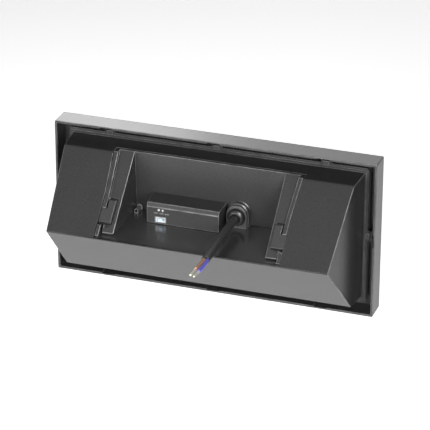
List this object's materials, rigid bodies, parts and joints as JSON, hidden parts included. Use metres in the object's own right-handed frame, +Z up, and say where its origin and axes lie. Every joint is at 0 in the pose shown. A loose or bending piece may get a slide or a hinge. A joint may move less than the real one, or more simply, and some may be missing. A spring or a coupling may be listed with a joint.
{
  "type": "led wall light",
  "caption": "Rectangular LED wall light with a wedge-shaped rear housing, a recessed driver box, a slide switch and a cut-back mains cable.",
  "frame": {"origin": "middle of the wall bracket seat, on the face of the two rails in the upper rear slope", "axes": "+X to the right as seen from the front, +Y from the diffuser towards the rear ridge, +Z up"},
  "size_m": [0.3, 0.1538, 0.147],
  "materials": {
    "shell": "satin moulded black",
    "frame": "satin anthracite",
    "opal": "opal",
    "silicone": "soft grey",
    "white_coat": "white powder coat",
    "board_white": "white solder mask",
    "board_green": "green solder mask",
    "ferrite": "dull dark",
    "capacitor": "satin sleeve",
    "steel": "zinc plated",
    "switch": "white",
    "slider": "pale blue",
    "lens": "clear white",
    "sheath": "black sheath",
    "core_brown": "brown insulation",
    "core_blue": "blue insulation",
    "tinned": "tinned copper",
    "lead_red": "red insulation"
  },
  "bodies": {
    "case": {"cable_sheath": "sheath", "cassette_screw_1": "steel", "cassette_screw_2": "steel", "cassette_screw_3": "steel", "cassette_screw_4": "steel", "cct_switch_body": "switch", "core_blue": "core_blue", "core_brown": "core_brown", "core_end_blue": "tinned", "core_end_brown": "tinned", "diffuser": "opal", "diffuser_seal": "silicone", "driver_board": "board_green", "driver_capacitor": "capacitor", "driver_choke": "ferrite", "driver_cover": "shell", "driver_screw_1": "steel", "driver_screw_2": "steel", "driver_terminals": "board_white", "driver_transformer": "ferrite", "front_frame": "frame", "gland_boss": "shell", "gland_nut": "shell", "gland_plate": "shell", "gland_seal": "silicone", "housing_gasket": "silicone", "indicator_lens_1": "lens", "indicator_lens_2": "lens", "inner_core_blue": "core_blue", "inner_core_brown": "core_brown", "led_plate": "white_coat", "led_strip_bottom": "board_white", "led_strip_middle": "board_white", "led_strip_top": "board_white", "mount_cassette": "shell", "output_lead_1": "lead_red", "output_lead_2": "lead_red", "plate_screw_1": "steel", "plate_screw_2": "steel", "plate_screw_3": "steel", "plate_screw_4": "steel", "rear_housing": "shell", "strip_link_lower": "board_white", "strip_link_upper": "board_white", "vent_boss": "shell", "vent_plug": "silicone"},
    "slider": {"cct_slider": "slider"},
    "latch_left": {"latch_left": "shell"},
    "latch_right": {"latch_right": "shell"}
  },
  "joints": [
    {"name": "cct_select", "type": "slide", "parent": "case", "child": "slider", "axis": [1, 0, 0], "range_m": [-0.002, 0.002]},
    {"name": "latch_left_press", "type": "hinge", "parent": "case", "child": "latch_left", "pos_m": [-0.07685, 0.00401, -0.00556], "axis": [-1, 0, 0], "range_deg": [0, 5], "stiffness_Nm_per_rad": 0.6},
    {"name": "latch_right_press", "type": "hinge", "parent": "case", "child": "latch_right", "pos_m": [0.07685, 0.00401, -0.00556], "axis": [-1, 0, 0], "range_deg": [0, 5], "stiffness_Nm_per_rad": 0.6}
  ]
}
